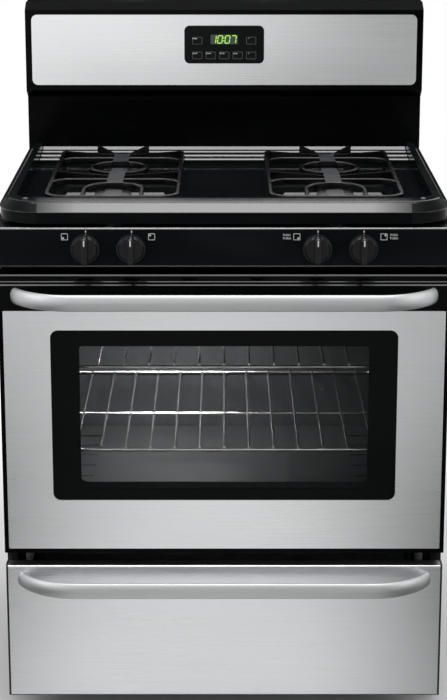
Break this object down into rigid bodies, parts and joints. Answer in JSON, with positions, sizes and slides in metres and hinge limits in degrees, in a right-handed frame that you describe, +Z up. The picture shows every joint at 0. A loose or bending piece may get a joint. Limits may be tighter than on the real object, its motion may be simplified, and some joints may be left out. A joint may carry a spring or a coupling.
{
  "type": "freestanding gas range",
  "caption": "Freestanding gas range in black and steel: cast grates over sealed burners, push-turn knobs, clock backguard, drop-down windowed oven door, wire racks and a storage drawer.",
  "frame": {"origin": "centre of the footprint at floor level, under the feet", "axes": "+Z up, -Y out of the front (door and knobs), +X to the viewer's right when facing the front"},
  "size_m": [0.759, 0.719, 1.184],
  "materials": {
    "stainless": "horizontal brushed satin",
    "black_enamel": "gloss",
    "oven_enamel": "speckled gloss",
    "galvanised": "zinc coated",
    "cast_iron": "matte enamel",
    "aluminium": "cast satin",
    "brass": "machined",
    "chrome": "bright plated wire",
    "glass": "tinted gloss",
    "black_plastic": "satin gloss",
    "display": "dark lens",
    "circuit_board": "coated board",
    "ceramic": "white ceramic",
    "woven_seal": "woven fibre rope",
    "mineral_wool": "fibre blanket",
    "feet": "moulded nylon"
  },
  "bodies": {
    "body": {"side_panels": "black_enamel", "rear_panel": "galvanised", "base_frame": "galvanised", "levelling_feet": "feet", "oven_cavity": "oven_enamel", "oven_floor": "oven_enamel", "oven_insulation": "mineral_wool", "oven_burner": "galvanised", "temperature_probe": "chrome", "cooktop": "black_enamel", "burner_heads": "aluminium", "spark_electrodes": "ceramic", "gas_manifold": "galvanised", "burner_valves": "brass", "burner_tubes": "aluminium", "control_panel": "black_enamel", "backguard_shell": "black_enamel", "backguard_panel": "stainless", "backguard_rear_cover": "galvanised", "clock_bezel": "black_plastic", "clock_display": "display", "control_board": "circuit_board", "hinge_brackets": "galvanised", "pressure_regulator": "aluminium", "drawer_rails": "galvanised"},
    "door": {"door_frame": "black_enamel", "door_skin": "stainless", "door_top_trim": "black_enamel", "door_glass_outer": "glass", "door_glass_inner": "glass", "door_liner": "oven_enamel", "door_gasket": "woven_seal", "door_handle": "stainless", "door_hinge_arms": "galvanised"},
    "drawer": {"drawer_front": "stainless", "drawer_box": "galvanised", "drawer_handle": "stainless"},
    "stem_1": {"valve_stem_1": "brass"},
    "knob_1": {"burner_knob_1": "black_plastic"},
    "stem_2": {"valve_stem_2": "brass"},
    "knob_2": {"burner_knob_2": "black_plastic"},
    "stem_3": {"valve_stem_3": "brass"},
    "knob_3": {"burner_knob_3": "black_plastic"},
    "stem_4": {"valve_stem_4": "brass"},
    "knob_4": {"burner_knob_4": "black_plastic"},
    "rack_lower": {"oven_rack_lower": "chrome"},
    "rack_upper": {"oven_rack_upper": "chrome"},
    "grate_left": {"grate_left": "cast_iron"},
    "grate_right": {"grate_right": "cast_iron"},
    "cap_front_left": {"burner_cap_front_left": "cast_iron"},
    "cap_front_right": {"burner_cap_front_right": "cast_iron"},
    "cap_rear_left": {"burner_cap_rear_left": "cast_iron"},
    "cap_rear_right": {"burner_cap_rear_right": "cast_iron"},
    "key_1": {"clock_key_1": "black_plastic"},
    "key_2": {"clock_key_2": "black_plastic"},
    "key_3": {"clock_key_3": "black_plastic"},
    "key_4": {"clock_key_4": "black_plastic"},
    "key_5": {"clock_key_5": "black_plastic"},
    "key_6": {"clock_key_6": "black_plastic"},
    "key_7": {"clock_key_7": "black_plastic"}
  },
  "joints": [
    {"name": "door_hinge", "type": "hinge", "parent": "body", "child": "door", "pos_m": [0, -0.2775, 0.322], "axis": [1, 0, 0], "range_deg": [0, 90]},
    {"name": "drawer_slide", "type": "slide", "parent": "body", "child": "drawer", "axis": [0, -1, 0], "range_m": [0, 0.3]},
    {"name": "stem_1_turn", "type": "hinge", "parent": "body", "child": "stem_1", "pos_m": [-0.23, -0.29, 0.839], "axis": [0, -1, 0], "range_deg": [0, 220]},
    {"name": "knob_1_push", "type": "slide", "parent": "stem_1", "child": "knob_1", "axis": [0, 1, 0], "range_m": [0, 0.0035], "stiffness_N_per_m": 800},
    {"name": "stem_2_turn", "type": "hinge", "parent": "body", "child": "stem_2", "pos_m": [-0.154, -0.29, 0.839], "axis": [0, -1, 0], "range_deg": [0, 220]},
    {"name": "knob_2_push", "type": "slide", "parent": "stem_2", "child": "knob_2", "axis": [0, 1, 0], "range_m": [0, 0.0035], "stiffness_N_per_m": 800},
    {"name": "stem_3_turn", "type": "hinge", "parent": "body", "child": "stem_3", "pos_m": [0.154, -0.29, 0.839], "axis": [0, -1, 0], "range_deg": [0, 220]},
    {"name": "knob_3_push", "type": "slide", "parent": "stem_3", "child": "knob_3", "axis": [0, 1, 0], "range_m": [0, 0.0035], "stiffness_N_per_m": 800},
    {"name": "stem_4_turn", "type": "hinge", "parent": "body", "child": "stem_4", "pos_m": [0.23, -0.29, 0.839], "axis": [0, -1, 0], "range_deg": [0, 220]},
    {"name": "knob_4_push", "type": "slide", "parent": "stem_4", "child": "knob_4", "axis": [0, 1, 0], "range_m": [0, 0.0035], "stiffness_N_per_m": 800},
    {"name": "rack_lower_slide", "type": "slide", "parent": "body", "child": "rack_lower", "axis": [0, -1, 0], "range_m": [0, 0.022]},
    {"name": "rack_upper_slide", "type": "slide", "parent": "body", "child": "rack_upper", "axis": [0, -1, 0], "range_m": [0, 0.022]},
    {"name": "grate_left_lift", "type": "slide", "parent": "body", "child": "grate_left", "axis": [0, 0, 1], "range_m": [0, 0.06]},
    {"name": "grate_right_lift", "type": "slide", "parent": "body", "child": "grate_right", "axis": [0, 0, 1], "range_m": [0, 0.06]},
    {"name": "cap_front_left_lift", "type": "slide", "parent": "body", "child": "cap_front_left", "axis": [0, 0, 1], "range_m": [0, 0.04]},
    {"name": "cap_front_right_lift", "type": "slide", "parent": "body", "child": "cap_front_right", "axis": [0, 0, 1], "range_m": [0, 0.04]},
    {"name": "cap_rear_left_lift", "type": "slide", "parent": "body", "child": "cap_rear_left", "axis": [0, 0, 1], "range_m": [0, 0.04]},
    {"name": "cap_rear_right_lift", "type": "slide", "parent": "body", "child": "cap_rear_right", "axis": [0, 0, 1], "range_m": [0, 0.04]},
    {"name": "key_1_press", "type": "slide", "parent": "body", "child": "key_1", "axis": [0, 1, 0], "range_m": [0, 0.0006], "stiffness_N_per_m": 600},
    {"name": "key_2_press", "type": "slide", "parent": "body", "child": "key_2", "axis": [0, 1, 0], "range_m": [0, 0.0006], "stiffness_N_per_m": 600},
    {"name": "key_3_press", "type": "slide", "parent": "body", "child": "key_3", "axis": [0, 1, 0], "range_m": [0, 0.0006], "stiffness_N_per_m": 600},
    {"name": "key_4_press", "type": "slide", "parent": "body", "child": "key_4", "axis": [0, 1, 0], "range_m": [0, 0.0006], "stiffness_N_per_m": 600},
    {"name": "key_5_press", "type": "slide", "parent": "body", "child": "key_5", "axis": [0, 1, 0], "range_m": [0, 0.0006], "stiffness_N_per_m": 600},
    {"name": "key_6_press", "type": "slide", "parent": "body", "child": "key_6", "axis": [0, 1, 0], "range_m": [0, 0.0006], "stiffness_N_per_m": 600},
    {"name": "key_7_press", "type": "slide", "parent": "body", "child": "key_7", "axis": [0, 1, 0], "range_m": [0, 0.0006], "stiffness_N_per_m": 600}
  ]
}
